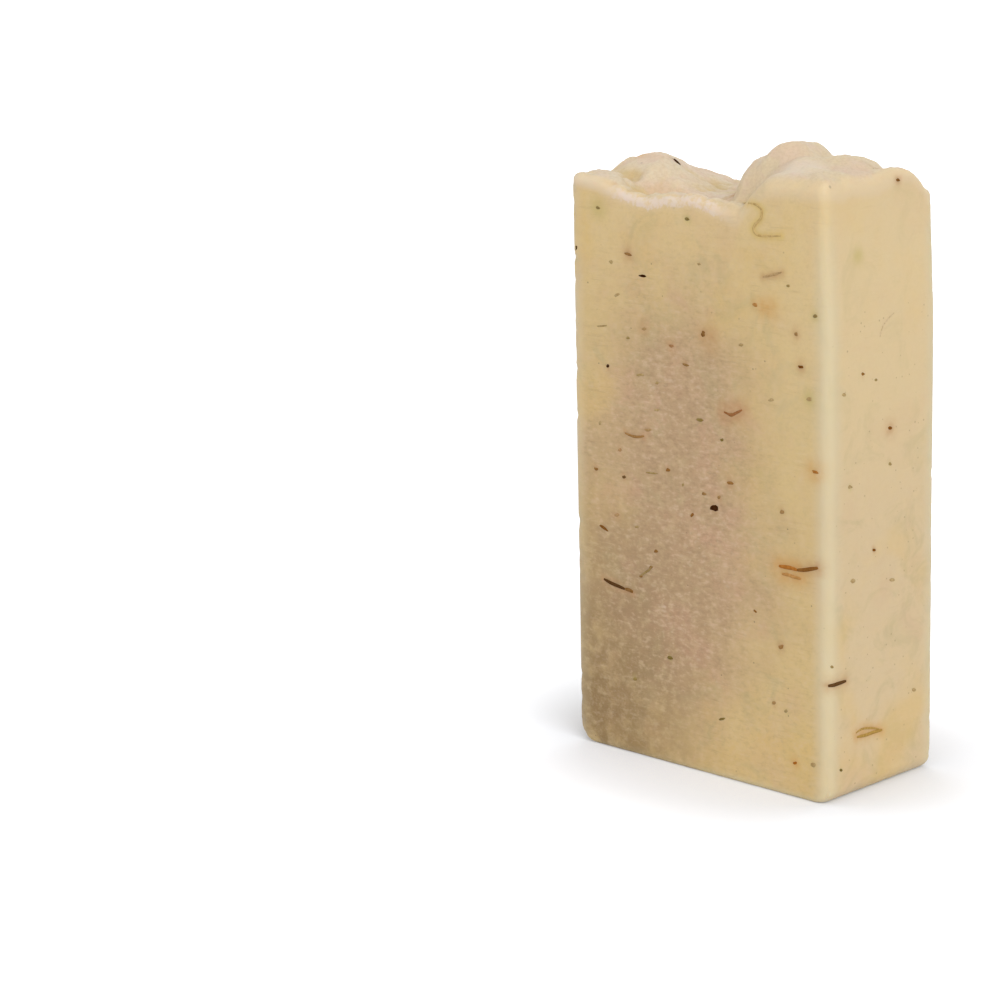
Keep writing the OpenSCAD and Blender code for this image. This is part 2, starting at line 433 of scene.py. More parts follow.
def poured_detail(x, y):
    """Small lumps, folds and grain of the poured top, as a height."""
    points = level_points(x, y)
    drift = level_points(hills(points, SWIRL_W, DRIFT_X), hills(points, SWIRL_W, DRIFT_Y))
    swirled = points + SWIRL * drift
    torn = smoothstep(-0.15, 0.35, hills(points, TORN_W, TORN)) * smoothstep(16 * MM, -4 * MM, x)
    blobs = (BLOB_H + TORN_BLOB_H * torn) * (curds(swirled, BLOB_W, BLOBS) - 0.3)
    small = (SMALL_BLOB_H + TORN_SMALL_BLOB_H * torn) * (curds(swirled, SMALL_BLOB_W, SMALL_BLOBS) - 0.3)
    folds = FOLD_H * (0.35 - np.abs(hills(swirled, FOLD_W, FOLDS, 2)))
    grain = GRAIN_H * hills(swirled, GRAIN_W, GRAIN, 3)
    return blobs + small + folds + grain


def distance_inside(x, y):
    """How far a point of the plan lies inside the nearest side."""
    return np.minimum(HALF_X - np.abs(x), HALF_Y - np.abs(y))


def rim_radius(x, y):
    """Radius of the rim: a little uneven, and larger where it is worn at the front right."""
    uneven = RIM_R * np.clip(0.86 + 0.3 * hills(level_points(x, y), 5 * MM, RIM), 0.6, 1)
    soft = smoothstep(2 * MM, 9 * MM, x) * smoothstep(6 * MM, -2 * MM, y)
    return uneven + (SOFT_RIM_R - uneven) * soft


def poured_surface(poured, x, y):
    """The poured top's height, rounded over at the rim, and the values that the material reads there."""
    inside = distance_inside(x, y)
    plain = poured.at(poured.heights, x, y)
    # The detail stays below the highest crest, and fades out over the rim
    detail = poured_detail(x, y)
    room = smoothstep(0, CREST_FADE, TOP - plain - CREST_ROOM)
    detail = np.where(detail > 0, detail * room, detail) * smoothstep(0, RIM_R, inside + 0.45 * MM)
    rim_r = rim_radius(x, y)
    over = 1 - np.clip(inside / rim_r, 0, 1)
    z = plain + detail - rim_r * (1 - np.sqrt(1 - over ** 2))

    rim = smoothstep(1.7 * MM, 0.2 * MM, inside)
    sunk = (poured.at(poured.form, x, y) - plain - 1.6 * detail) / MM
    crest = smoothstep(CREST_FROM - 3 * MM, CREST_FROM + 2 * MM, x)
    crest = crest * smoothstep(CREST_TO + 3 * MM, CREST_TO - 3 * MM, x)
    # edge marks where the rounded upright edges get their painted edge light
    return z, {"poured": smoothstep(0.1 * MM, 1.8 * MM, inside), "rim": rim, "edge": edge_share(x, y) * rim,
               "hollow": np.clip(sunk, -1, 1) * smoothstep(6 * MM, -5 * MM, x),
               "crest": crest * smoothstep(5 * MM, 1 * MM, plain - BAR_H)}


def ring_heights(rim_z):
    """Heights of the rings of the cut faces, from just below the rim down through the rounded foot."""
    wall = rim_z.mean() - LEFT_FOOT_R
    fine, coarse = round(RIM_BAND / RIM_PITCH), round((wall - RIM_BAND) / FACE_PITCH)
    near_rim = np.linspace(0, RIM_BAND, fine + 1)[1:-1]
    below = np.concatenate([near_rim, np.linspace(RIM_BAND, wall, coarse + 1)])
    turns = np.linspace(0, math.pi / 2, FOOT_STEPS + 1)[1:]
    return ([rim_z + (LEFT_FOOT_R - rim_z) * d / wall for d in below]
            + [LEFT_FOOT_R * (1 - math.sin(a)) + 0 * rim_z for a in turns])


def soap_faces(index, loop, levels):
    """Faces of the bar: the grid of its top, the rings of its cut faces, and the grid of its base."""
    ring = len(loop)
    rings = [loop] + [index.size + k * ring + np.arange(ring) for k in range(levels)]
    inner_rows, inner_columns = index.shape[0] - 2, index.shape[1] - 2
    under = np.empty(index.shape, int)
    under.ravel()[loop] = rings[-1]
    inner = index.size + levels * ring + np.arange(inner_rows * inner_columns)
    under[1:-1, 1:-1] = inner.reshape(inner_rows, inner_columns)

    top = np.stack([index[:-1, :-1], index[:-1, 1:], index[1:, 1:], index[1:, :-1]], -1)
    sides = [np.stack([upper, lower, np.roll(lower, -1), np.roll(upper, -1)], -1)
             for upper, lower in zip(rings, rings[1:])]
    base = np.stack([under[:-1, :-1], under[1:, :-1], under[1:, 1:], under[:-1, 1:]], -1)
    return np.concatenate([top.reshape(-1, 4)] + sides + [base.reshape(-1, 4)])


def soap_mesh(poured):
    """The bar's surface as points, faces and values that its material reads."""
    xs, ys = grid_lines(HALF_X), grid_lines(HALF_Y)
    gx, gy = (a.ravel() for a in np.meshgrid(xs, ys))
    z, top_values = poured_surface(poured, gx, gy)
    parts, values = [worn(gx, gy, z)], [top_values]

    # The cut faces, inside the outline of the grid, which runs anticlockwise from its first corner
    index = np.arange(len(gx)).reshape(len(ys), len(xs))
    loop = np.concatenate([index[0, :-1], index[:-1, -1], index[-1, :0:-1], index[:0:-1, 0]])
    lx, ly, rim_z = gx[loop], gy[loop], z[loop]
    heights = ring_heights(rim_z)
    for ring_z in heights:
        foot = smoothstep(1.6 * MM, 0.2 * MM, ring_z)
        parts.append(worn(lx, ly, ring_z))
        # edge on the cut faces carries the painted edge light too
        values.append({"poured": 0 * lx, "hollow": 0 * lx, "crest": top_values["crest"][loop],
                       "rim": smoothstep(1.5 * MM, 0, rim_z - ring_z),
                       "edge": np.maximum(edge_share(lx, ly), 0.6 * foot)})

    # The base, inside the last ring
    inner = index[1:-1, 1:-1].ravel()
    bx, by = gx[inner], gy[inner]
    base = worn(bx, by, 0 * bx)
    base[:, 2] = BASE_HOLLOW * smoothstep(LEFT_FOOT_R, BASE_RING, distance_inside(bx, by))
    parts.append(base)
    values.append({name: 0 * bx for name in top_values})

    read = {name: np.concatenate([v[name] for v in values]) for name in top_values}
    return np.concatenate(parts), soap_faces(index, loop, len(heights)), read


def mesh_object(name, points, faces, material):
    """A smooth-shaded object made of points and faces."""
    mesh = bpy.data.meshes.new(name)
    mesh.from_pydata([tuple(p) for p in points], [], [tuple(int(i) for i in f) for f in faces])
    mesh.validate()
    mesh.update()
    mesh.polygons.foreach_set("use_smooth", [True] * len(mesh.polygons))
    mesh.materials.append(material)
    made = bpy.data.objects.new(name, mesh)
    bpy.context.scene.collection.objects.link(made)
    return made


def write_values(obj, values):
    """Values for each point of a mesh, which its material reads by name."""
    for name, data in values.items():
        layer = obj.data.attributes.new(name, "FLOAT", "POINT")
        layer.data.foreach_set("value", np.asarray(data, np.float32))


def pixel_ray(px, py):
    """The way in which the photograph's camera sees a pixel."""
    half = PHOTO_PX / 2
    return (LOOK + RIGHT * ((px - half) / FOCAL_PX) + CAMERA_UP * ((half - py) / FOCAL_PX)).normalized()


class Herbs:
    """Flecks and fibres of herb cast into the surface, collected in one mesh, and their stains."""

    # How deep a fleck's rim lies under the surface, and how high its middle stands
    SINK = 0.05 * MM
    RISE = 0.03 * MM
    FLECK_SIDES = 10
    FIBRE_SIDES = 6
    # Least and greatest brightness of a herb, and distance of a fleck's rim from its middle, as shares
    SHADE = (0.92, 1.12)
    RAGGED_RIM = (0.72, 1.12)
    # Flecks that lie deeper look smaller, so they are made larger by this share
    DEEP_GROWTH = 0.3
    # Two places on the surface that are closer than this are the same place
    SAME_PLACE = 0.5 * MM

    # Herbs on the hidden sides: how often each kind comes among them, and the share that are fibres
    HIDDEN_KINDS = {"leaf": 7, "brown": 5, "dark": 3, "rust": 2, "orange": 2}
    HIDDEN_FIBRE_KINDS = ("rust", "orange", "brown")
    FIBRE_SHARE = 0.16
    # Their least and greatest sizes in millimetres. Width and bend are shares of the length
    FLECK_LENGTH, FLECK_WIDTH = (0.2, 0.75), (0.3, 0.8)
    FIBRE_LENGTH, FIBRE_BEND, FIBRE_RADIUS = (2.2, 4.5), (-0.5, 0.5), (0.12, 0.22)
    STAIN_REACH = (0, 1.3)
    # How far outside the bar they start, to be dropped onto it
    CLEAR = 0.05

    def __init__(self, soap):
        self.tree = BVHTree.FromObject(soap, bpy.context.evaluated_depsgraph_get())
        self.points, self.faces, self.colours, self.stains = [], [], [], []
        self.random = random.Random(HERB_SEED)

    def hit(self, origin, way):
        place, normal, _, _ = self.tree.ray_cast(origin, way)
        return place, normal

    def in_view(self, place):
        """Whether the photograph's camera sees a place on the surface."""
        met, _ = self.hit(CAMERA_AT, (place - CAMERA_AT).normalized())
        return met is not None and (met - place).length < self.SAME_PLACE

    def colour(self, kind, depth):
        """A herb's own shade of its kind, nearer the soap's colour the deeper that it lies."""
        shade = self.random.uniform(*self.SHADE)
        veil = depth ** 0.7
        mixed = [shade * h * (1 - veil) + s * veil for h, s in zip(HERB_COLOURS[kind], SOAP_COLOUR)]
        return linear(mixed)

    def stain(self, place, kind, reach):
        if reach > 0:
            self.stains.append((place, STAIN_OF[kind], reach * MM))

    def fleck(self, origin, way, along, across, kind, depth, reach):
        """A thin flake where a ray meets the surface. along and across are half its size."""
        middle, normal = self.hit(origin, way)
        if middle is None:
            return
        sides, rim = self.FLECK_SIDES, []
        for k in range(sides):
            a = 2 * math.pi * k / sides
            r = self.random.uniform(*self.RAGGED_RIM)
            start = middle + along * (r * math.cos(a)) + across * (r * math.sin(a)) - way * 4 * MM
            place, side = self.hit(start, way)
            if place is None or (place - middle).length > 2.2 * along.length + 0.4 * MM:
                return
            rim.append((place, side))
        first = len(self.points)
        self.points += [p - n * self.SINK for p, n in rim]
        self.points += [(middle + (p - middle) * 0.8) + n * self.RISE * 0.8 for p, n in rim]
        self.points += [middle + normal * self.RISE, middle - normal * 2 * self.SINK]
        crown, bottom = first + 2 * sides, first + 2 * sides + 1
        for k in range(sides):
            a, b = first + k, first + (k + 1) % sides
            self.faces += [(a, b, b + sides, a + sides), (a + sides, b + sides, crown), (b, a, bottom)]
        self.colours += [self.colour(kind, depth)] * (2 * sides + 2)
        self.stain(middle, kind, reach)

    def fibre(self, path, radius, kind, depth, reach):
        """A tapered thread that lies half sunk along places on the surface."""
        sides, steps = self.FIBRE_SIDES, len(path)
        if steps < 3:
            return
        first = len(self.points)
        for k, (place, normal) in enumerate(path):
            ahead = (path[min(k + 1, steps - 1)][0] - path[max(k - 1, 0)][0]).normalized()
            side = ahead.cross(normal).normalized()
            r = radius * (0.35 + 0.65 * math.sin(math.pi * (k + 0.5) / steps) ** 0.6)
            height = r * (0.55 - 0.35 * depth)
            for j in range(sides):
                a = 2 * math.pi * j / sides
                lift = height * (math.sin(a) - 0.2)
                self.points.append(place + side * (r * math.cos(a)) + normal * lift)
        tail, tip = len(self.points), len(self.points) + 1
        self.points += [path[0][0], path[-1][0]]
        for k in range(steps - 1):
            for j in range(sides):
                a, b = first + k * sides + j, first + k * sides + (j + 1) % sides
                self.faces.append((b, a, a + sides, b + sides))
        last = first + (steps - 1) * sides
        for j in range(sides):
            a = (j + 1) % sides
            self.faces += [(tail, first + j, first + a), (tip, last + a, last + j)]
        self.colours += [self.colour(kind, depth)] * (len(self.points) - first)
        for place, _ in path:
            self.stain(place, kind, reach)

    def seen(self):
        """The herbs that the photograph shows, each where its pixel meets the surface."""
        for px, py, length, width, rise, kind, depth, reach in SEEN_HERBS:
            way = pixel_ray(px, py)
            middle, _ = self.hit(CAMERA_AT, way)
            if middle is None:
                continue
            size = (1 + self.DEEP_GROWTH * depth) * half_pixel(middle)
            a = math.radians(rise)
            along = (RIGHT * math.cos(a) + CAMERA_UP * math.sin(a)) * length * size
            across = (CAMERA_UP * math.cos(a) - RIGHT * math.sin(a)) * width * size
            self.fleck(CAMERA_AT, way, along, across, kind, depth, reach)
        for pixels, width, kind, depth, reach in SEEN_FIBRES:
            path = [self.hit(CAMERA_AT, pixel_ray(px, py)) for px, py in smooth_path(pixels)]
            if all(place is not None for place, _ in path):
                self.fibre(path, width * half_pixel(path[0][0]), kind, depth, reach)
        for px, py, kind, reach in SEEN_STAINS:
            place, _ = self.hit(CAMERA_AT, pixel_ray(px, py))
            if place is not None:
                self.stain(place, kind, reach)

    def hidden(self):
        """Herbs of the same sorts on the sides that the photograph doesn't show."""
        middle = Vector((0, 0, TOP / 2))
        # For each side: the way out, to its right and up, its middle, and half its width and height
        sides = {
            "back": (Vector((0, 1, 0)), Vector((-1, 0, 0)), UP, middle, HALF_X, TOP / 2),
            "left": (Vector((-1, 0, 0)), Vector((0, -1, 0)), UP, middle, HALF_Y, TOP / 2),
            "top": (UP, Vector((1, 0, 0)), Vector((0, 1, 0)), UP * TOP, HALF_X, HALF_Y),
            "base": (-UP, Vector((-1, 0, 0)), Vector((0, 1, 0)), Vector((0, 0, 0)),
                     HALF_X - BASE_RING, HALF_Y - BASE_RING),
        }
        for name, count in HIDDEN_HERBS.items():
            for _ in range(count):
                self.scatter(*sides[name], turned=name == "top")

    def scatter(self, out, right, upward, middle, half_w, half_h, turned):
        """One herb somewhere on a side, turned any way or nearly level."""
        kinds = [kind for kind, count in self.HIDDEN_KINDS.items() for _ in range(count)]
        draw = self.random.uniform
        target = middle + right * draw(-0.93, 0.93) * half_w + upward * draw(-0.93, 0.86) * half_h
        landing, _ = self.hit(target + out * self.CLEAR, -out)
        if landing is None or self.in_view(landing):
            return
        kind = self.random.choice(kinds)
        depth, reach = draw(0, 0.7) ** 1.5, draw(*self.STAIN_REACH)
        a = draw(0, math.pi) if turned else draw(-0.7, 0.7)
        ahead = right * math.cos(a) + upward * math.sin(a)
        sideways = upward * math.cos(a) - right * math.sin(a)
        if self.random.random() >= self.FIBRE_SHARE:
            length = draw(*self.FLECK_LENGTH) * MM
            across = sideways * length * draw(*self.FLECK_WIDTH)
            self.fleck(target + out * self.CLEAR, -out, ahead * length, across, kind, depth, reach)
            return
        length, bend = draw(*self.FIBRE_LENGTH) * MM, draw(*self.FIBRE_BEND)
        spots = [target + ahead * length * t + sideways * length * bend * t * (1 - t)
                 for t in np.linspace(0, 1, 9)]
        path = [self.hit(spot + out * self.CLEAR, -out) for spot in spots]
        path = [(p, n) for p, n in path if p is not None and (p - target).length < 2 * length]
        if not any(self.in_view(p) for p, _ in path):
            radius = draw(*self.FIBRE_RADIUS) * MM
            self.fibre(path, radius, self.random.choice(self.HIDDEN_FIBRE_KINDS), depth, reach)

    def build(self, material):
        """The herbs as one mesh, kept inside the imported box."""
        inside = [[min(max(v, a), b) for v, a, b in zip(p, low, high)] for p in self.points]
        made = mesh_object("herb_flecks", inside, self.faces, material)
        tones = made.data.color_attributes.new("tone", "FLOAT_COLOR", "POINT")
        tones.data.foreach_set("color", np.array(self.colours, np.float32).ravel())
        return made

    def stain_values(self, points):
        """How much each kind of stain colours each point of the soap."""
        values = {kind: np.zeros(len(points)) for kind in sorted(set(STAIN_OF.values()))}
        for place, kind, reach in self.stains:
            distance = np.linalg.norm(points - np.array(place), axis=1)
            values[kind] = np.maximum(values[kind], np.exp(-(distance / reach) ** 2))
        return {"stain_" + kind: data for kind, data in values.items()}


def half_pixel(place):
    """Half the size of one of the photograph's pixels at a place."""
    return (place - CAMERA_AT).dot(LOOK) / FOCAL_PX / 2


def smooth_path(pixels, steps=4):
    """Pixels along the smooth curve through a few of them."""
    ends = [pixels[0]] + list(pixels) + [pixels[-1]]
    path = []
    for k in range(1, len(ends) - 2):
        p0, p1, p2, p3 = (np.array(ends[k + d], float) for d in (-1, 0, 1, 2))
        for t in np.arange(steps) / steps:
            path.append(0.5 * (2 * p1 + (p2 - p0) * t + (2 * p0 - 5 * p1 + 4 * p2 - p3) * t ** 2
                               + (3 * p1 - p0 - 3 * p2 + p3) * t ** 3))
    return path + [np.array(pixels[-1], float)]


class Graph:
    """A tree of shader nodes, written in short."""

    def __init__(self, tree):
        self.tree = tree
        tree.nodes.clear()

    def node(self, kind, inputs=None, **settings):
        made = self.tree.nodes.new("ShaderNode" + kind)
        for key, value in settings.items():
            setattr(made, key, value)
        for key, value in (inputs or {}).items():
            socket = made.inputs[key]
            if isinstance(value, bpy.types.NodeSocket):
                self.tree.links.new(value, socket)
            else:
                socket.default_value = value
        return made

    def value(self, name):
        """A value that the mesh carries."""
        return self.node("Attribute", attribute_name=name).outputs["Fac"]

    def math(self, operation, a, b=0.0):
        return self.node("Math", {0: a, 1: b}, operation=operation).outputs[0]

    def plus(self, a, b):
        return self.math("ADD", a, b)

    def minus(self, a, b):
        return self.math("SUBTRACT", a, b)

    def times(self, *factors):
        product = factors[0]
        for factor in factors[1:]:
            product = self.math("MULTIPLY", product, factor)
        return product

    def ranged(self, value, start, end, low=0.0, high=1.0):
        """A value eased from one range to another."""
        inputs = {"Value": value, "From Min": start, "From Max": end, "To Min": low, "To Max": high}
        return self.node("MapRange", inputs, interpolation_type="SMOOTHSTEP").outputs["Result"]

    def noise(self, at, size_mm, detail=2.0, roughness=0.5, distortion=0.0):
        """Noise from 0 to 1 whose hills are of a size."""
        made = self.node("TexNoise", {"Vector": at, "Scale": 1000 / size_mm, "Detail": detail,
                                      "Roughness": roughness, "Distortion": distortion})
        return made.outputs["Fac"]

    def scaled(self, at, factors):
        return self.node("VectorMath", {0: at, 1: factors}, operation="MULTIPLY").outputs[0]

    def drawn_out(self, at, squeeze):
        """Coordinates squeezed along X and Y, which draws a pattern out level with the base."""
        return self.scaled(at, (squeeze, squeeze, 1.0))

    def mixed(self, share, a, b, blend="MIX"):
        return self.node("Mix", {0: share, 6: a, 7: b}, data_type="RGBA", blend_type=blend).outputs[2]

    def dots(self, at, cell_mm, radius, chosen, soft=0.5):
        """Round dots in a share of the cells, from 0 to 1: radius is a share of the cell."""
        made = self.node("TexVoronoi", {"Vector": at, "Scale": 1000 / cell_mm, "Randomness": 1.0})
        luck = self.node("SeparateColor", {"Color": made.outputs["Color"]})
        size = self.plus(self.times(luck.outputs["Green"], radius), radius * 0.4)
        disc = self.ranged(self.minus(1.0, self.math("DIVIDE", made.outputs["Distance"], size)), 0.0, soft)
        return self.times(disc, self.math("LESS_THAN", luck.outputs["Red"], chosen))

    def seen_directly(self):
        """1 for what the camera sees, also in a reflection or through glass, and 0 for what gives light."""
        path = self.node("LightPath").outputs
        through = self.math("MAXIMUM", path["Is Glossy Ray"], path["Is Transmission Ray"])
        return self.math("MAXIMUM", path["Is Camera Ray"], through)


def new_material(name):
    material = bpy.data.materials.new(name)
    material.use_nodes = True
    return material


class SoapLook(Graph):
    """Cured natural soap: golden and slightly clear near its edges, mauve and cloudy in its core. Each step
    takes the colour so far, and gives it back changed."""

    # The middle of the mauve core, which lies off the middle of the broad faces, and how far it reaches
    CORE_AT = Vector((-5.5, 0, 42)) * MM
    CORE_REACH = Vector((30, 40, 56)) * MM
    # Middle of a painted highlight, on the palest lump of the poured top
    HIGHLIGHT_AT = Vector((16.5, -8.0, 96.5)) * MM

    def __init__(self, tree):
        super().__init__(tree)
        self.at = self.node("TexCoord").outputs["Object"]
        self.x, self.y, self.z = self.node("SeparateXYZ", {0: self.at}).outputs
        self.poured, self.rim = self.value("poured"), self.value("rim")
        self.cut = self.minus(1.0, self.poured)
        self.core = self.core_share()
        self.narrow = self.ranged(self.math("ABSOLUTE", self.x), HALF_X - 3.4 * MM, HALF_X - 0.7 * MM)
        self.grain = self.noise(self.at, 0.55, 3, 0.7)
        self.fleece = self.noise(self.at, 2.2, 4, 0.7)
        self.specks = self.dots(self.at, 2.3, 0.11, 0.14)

    def tinted(self, colour, share, tone):
        """The colour so far, with a share of one of the soap's tones in it."""
        return self.mixed(share, colour, linear(SOAP_TONES[tone]))

    def offset(self, place):
        """The way from a place to what is being coloured."""
        return self.node("VectorMath", {0: self.at, 1: -place}, operation="ADD").outputs[0]

    def length(self, vector):
        return self.node("VectorMath", {0: vector}, operation="LENGTH").outputs["Value"]

    def core_share(self):
        """1 in the core, fading out with a cloudy border."""
        wide = self.scaled(self.offset(self.CORE_AT), [1 / reach for reach in self.CORE_REACH])
        cloud = self.times(self.minus(self.noise(self.at, 22, 3, 0.6), 0.5), 1.1)
        return self.ranged(self.plus(self.length(wide), cloud), 1.0, 0.35)

    def body(self):
        """Golden, with the mauve core, paler near the top with painted light, and paler on the narrow
        sides.
        """
        colour = self.mixed(self.core, linear(SOAP_TONES["golden"]), linear(SOAP_TONES["core"]))
        # Painted light: paler towards the top, as if lit from above
        colour = self.tinted(colour, self.times(self.ranged(self.z, 68 * MM, 94 * MM), 0.8), "crown")
        return self.tinted(colour, self.times(self.narrow, 0.9), "narrow side")

    def drifts(self, colour):
        """Pink, grey-green and golden drifts."""
        pink = self.ranged(self.noise(self.at, 11, 4, 0.6, 0.6), 0.47, 0.68)
        colour = self.tinted(colour, self.times(pink, self.plus(0.18, self.times(self.core, 0.45))), "pink")
        moss = self.ranged(self.noise(self.at, 8, 4, 0.65, 0.8), 0.50, 0.70)
        colour = self.tinted(colour, self.times(moss, 0.42), "moss")
        honey = self.ranged(self.noise(self.at, 15, 3, 0.5, 0.3), 0.50, 0.72)
        return self.tinted(colour, self.times(honey, self.minus(1.0, self.core), 0.5), "honey")

    def patches(self, colour):
        """Paler towards the right, high up, and a painted shade, olive brown, low on the left."""
        right = self.times(self.ranged(self.z, 34 * MM, 72 * MM), self.ranged(self.x, 10 * MM, 23 * MM))
        colour = self.tinted(colour, self.times(right, 0.45), "pale right")
        uneven = self.ranged(self.noise(self.at, 5, 4, 0.65), 0.32, 0.56, 0.6, 1.0)
        # Painted shade: olive brown, strongest at the foot on the left of the front face, fading upwards
        # and to the right
        painted_shade = self.times(self.ranged(self.z, 56 * MM, 6 * MM), self.ranged(self.x, 11 * MM, -22 * MM),
                           uneven, self.ranged(self.y, 2 * MM, -13 * MM, 0.35, 1.0))
        return self.tinted(colour, self.times(painted_shade, 0.92), "painted_shade")

    def fine_cloud(self, colour):
        """Sandy grain and pale fleece."""
        sandy = self.minus(self.plus(0.35, self.times(self.core, 0.65)), self.times(self.narrow, 0.2))
        grain = self.ranged(self.grain, 0.38, 0.66, 0.0, 0.24)
        colour = self.tinted(colour, self.times(grain, sandy), "grain")
        return self.tinted(colour, self.ranged(self.fleece, 0.45, 0.72, 0.0, 0.28), "fleece")

    def blotches(self, colour):
        """Soft blotches drawn out along the cut, strongest in the core and low down."""
        low_down = self.ranged(self.z, 50 * MM, 10 * MM, 0.0, 0.35)
        share = self.plus(0.2, self.math("MAXIMUM", self.core, low_down))
        share = self.times(share, self.minus(1.0, self.times(self.narrow, 0.8)), 0.34)
        blotch = self.noise(self.drawn_out(self.at, 0.55), 0.62, 2, 0.6)
        colour = self.tinted(colour, self.times(self.ranged(blotch, 0.50, 0.26), share), "dark blotch")
        return self.tinted(colour, self.times(self.ranged(blotch, 0.50, 0.74), share), "pale blotch")

    def cutting_lines(self, colour):
        """Lines that run round the bar, level with its base, and hardly mark the narrow faces. Gives back
        the dark ones too, which are grooves."""
        streaks = self.noise(self.drawn_out(self.at, 0.10), 0.62, 3, 0.7, 0.25)
        patchy = self.ranged(self.noise(self.at, 6, 2, 0.5), 0.40, 0.62)
        patchy = self.times(patchy, self.minus(1.0, self.times(self.narrow, 0.7)), self.cut)
        grooves = self.times(self.ranged(streaks, 0.52, 0.70), patchy)
        ridges = self.times(self.ranged(streaks, 0.46, 0.30), patchy)
        colour = self.tinted(colour, self.times(grooves, 0.14), "dark line")
        return self.tinted(colour, self.times(ridges, 0.18), "pale line"), grooves

    def grains(self, colour):
        """Pale grains drawn out along the cut, thickest in the core, and dark specks everywhere."""
        sown = self.ranged(self.noise(self.at, 11, 2, 0.5), 0.34, 0.60)
        sown = self.times(self.plus(0.15, self.core), sown)
        drawn = self.drawn_out(self.at, 0.5)
        frost = self.times(self.ranged(self.noise(drawn, 0.5, 2, 0.6, 0.4), 0.54, 0.70), 0.5)
        pale = self.math("MAXIMUM", frost, self.dots(drawn, 0.95, 0.34, 0.26, 0.8))
        colour = self.tinted(colour, self.times(pale, sown, 0.40), "frost")
        colour = self.tinted(colour, self.times(self.specks, 0.6), "speck")
        return self.tinted(colour, self.times(self.dots(self.at, 1.1, 0.14, 0.12), 0.4), "fine speck")

    def poured_top(self, colour):
        """Pale crests, golden pits, a pink tinge, and a painted highlight on the palest lump."""
        pits = self.ranged(self.value("hollow"), -0.30, 0.55)
        skin = self.mixed(pits, linear(SOAP_TONES["skin"]), linear(SOAP_TONES["pit"]))
        blush = self.ranged(self.noise(self.at, 6, 3, 0.6), 0.44, 0.62)
        skin = self.tinted(skin, self.times(blush, 0.6), "blush")
        skin = self.tinted(skin, self.ranged(self.grain, 0.40, 0.64, 0.0, 0.24), "skin grain")
        skin = self.tinted(skin, self.times(self.specks, 0.5), "skin speck")
        colour = self.mixed(self.poured, colour, skin)
        # A painted highlight round the palest lump
        glow = self.ranged(self.length(self.offset(self.HIGHLIGHT_AT)), 6.2 * MM, 1.0 * MM)
        return self.tinted(colour, self.times(glow, 0.45), "glow")

    def edge_light_and_rim(self, colour):
        """The rounded upright edges get a painted edge light, pale as if light came through them and shone
        off their rounding.
        The rim is tinged with pink, and along its low part it is paler and crumbles."""
        uneven = self.plus(0.48, self.times(self.noise(self.at, 7, 2, 0.5), 0.35))
        # Painted edge light on the rounded upright edges, fading out towards the top and strongest on the
        # right
        pale = self.times(self.value("edge"), uneven, self.ranged(self.z, 98 * MM, 80 * MM),
                          self.ranged(self.x, -10 * MM, 10 * MM, 0.35, 1.0))
        colour = self.tinted(colour, pale, "edge light")
        rosy = self.times(self.rim, self.ranged(self.x, -14 * MM, -22 * MM, 0.35, 0.75))
        colour = self.tinted(colour, rosy, "rim")
        crumbs = self.plus(self.rim, self.times(self.minus(self.noise(self.at, 0.9, 3, 0.7), 0.5), 2.0))
        crest = self.times(self.ranged(crumbs, 0.60, 1.10), self.value("crest"), 0.85)
        return self.tinted(colour, crest, "crest")

    def stained(self, colour):
        """Stains that the herbs leave."""
        ragged = self.ranged(self.noise(self.at, 1.6, 3, 0.6), 0.25, 0.65, 0.35, 0.80)
        for kind, share in (("rust", ragged), ("gold", ragged), ("honey", 0.65), ("leaf", 0.45)):
            colour = self.tinted(colour, self.times(self.value("stain_" + kind), share), kind + " stain")
        return colour

    def relief(self, grooves):
        """Relief too small for the mesh, as a normal."""
        grain = self.times(self.grain, self.plus(0.22, self.times(self.poured, 1.1)))
        fleece = self.times(self.fleece, self.plus(0.30, self.times(self.poured, 0.8)))
        pores = self.times(self.dots(self.at, 1.7, 0.16, 0.20), 0.4)
        lift = self.plus(self.plus(self.times(grooves, -0.5), grain), fleece)
        height = self.minus(lift, pores)
        return self.node("Bump", {"Strength": 0.5, "Distance": 0.12 * MM, "Height": height}).outputs[0]

    def build(self):
        """All the steps, one over the other, and the shader."""
        colour = self.fine_cloud(self.patches(self.drifts(self.body())))
        colour, grooves = self.cutting_lines(self.blotches(colour))
        colour = self.stained(self.edge_light_and_rim(self.poured_top(self.grains(colour))))
        rough = self.plus(self.ranged(self.fleece, 0.3, 0.7, 0.44, 0.60), self.times(self.poured, 0.08))
        shader = self.node("BsdfPrincipled", {
            "Base Color": colour, "Roughness": rough, "Normal": self.relief(grooves), "IOR": 1.46,
            "Subsurface Weight": 0.45, "Subsurface Scale": 3 * MM, "Subsurface Radius": (1.0, 0.78, 0.52)})
        self.node("OutputMaterial", {"Surface": shader.outputs[0]})


def soap_material():
    material = new_material("cured_soap")
    SoapLook(material.node_tree).build()
    return material


def herb_material():
    """Dried herb, whose colour the mesh carries, mottled and matt."""
    material = new_material("dried_herb")
    g = Graph(material.node_tree)
    at = g.node("TexCoord").outputs["Object"]
    tone = g.node("Attribute", attribute_name="tone").outputs["Color"]
    mottle = g.noise(at, 0.35, 3, 0.6)
    colour = g.mixed(g.ranged(mottle, 0.35, 0.65, 0.0, 0.6), tone, linear(HERB_MOTTLE), "MULTIPLY")
    bump = g.node("Bump", {"Strength": 0.5, "Distance": 0.06 * MM, "Height": mottle})
    shader = g.node("BsdfPrincipled", {"Base Color": colour, "Roughness": 0.82, "Normal": bump.outputs[0],
                                       "Specular IOR Level": 0.05})
    g.node("OutputMaterial", {"Surface": shader.outputs[0]})
    return material


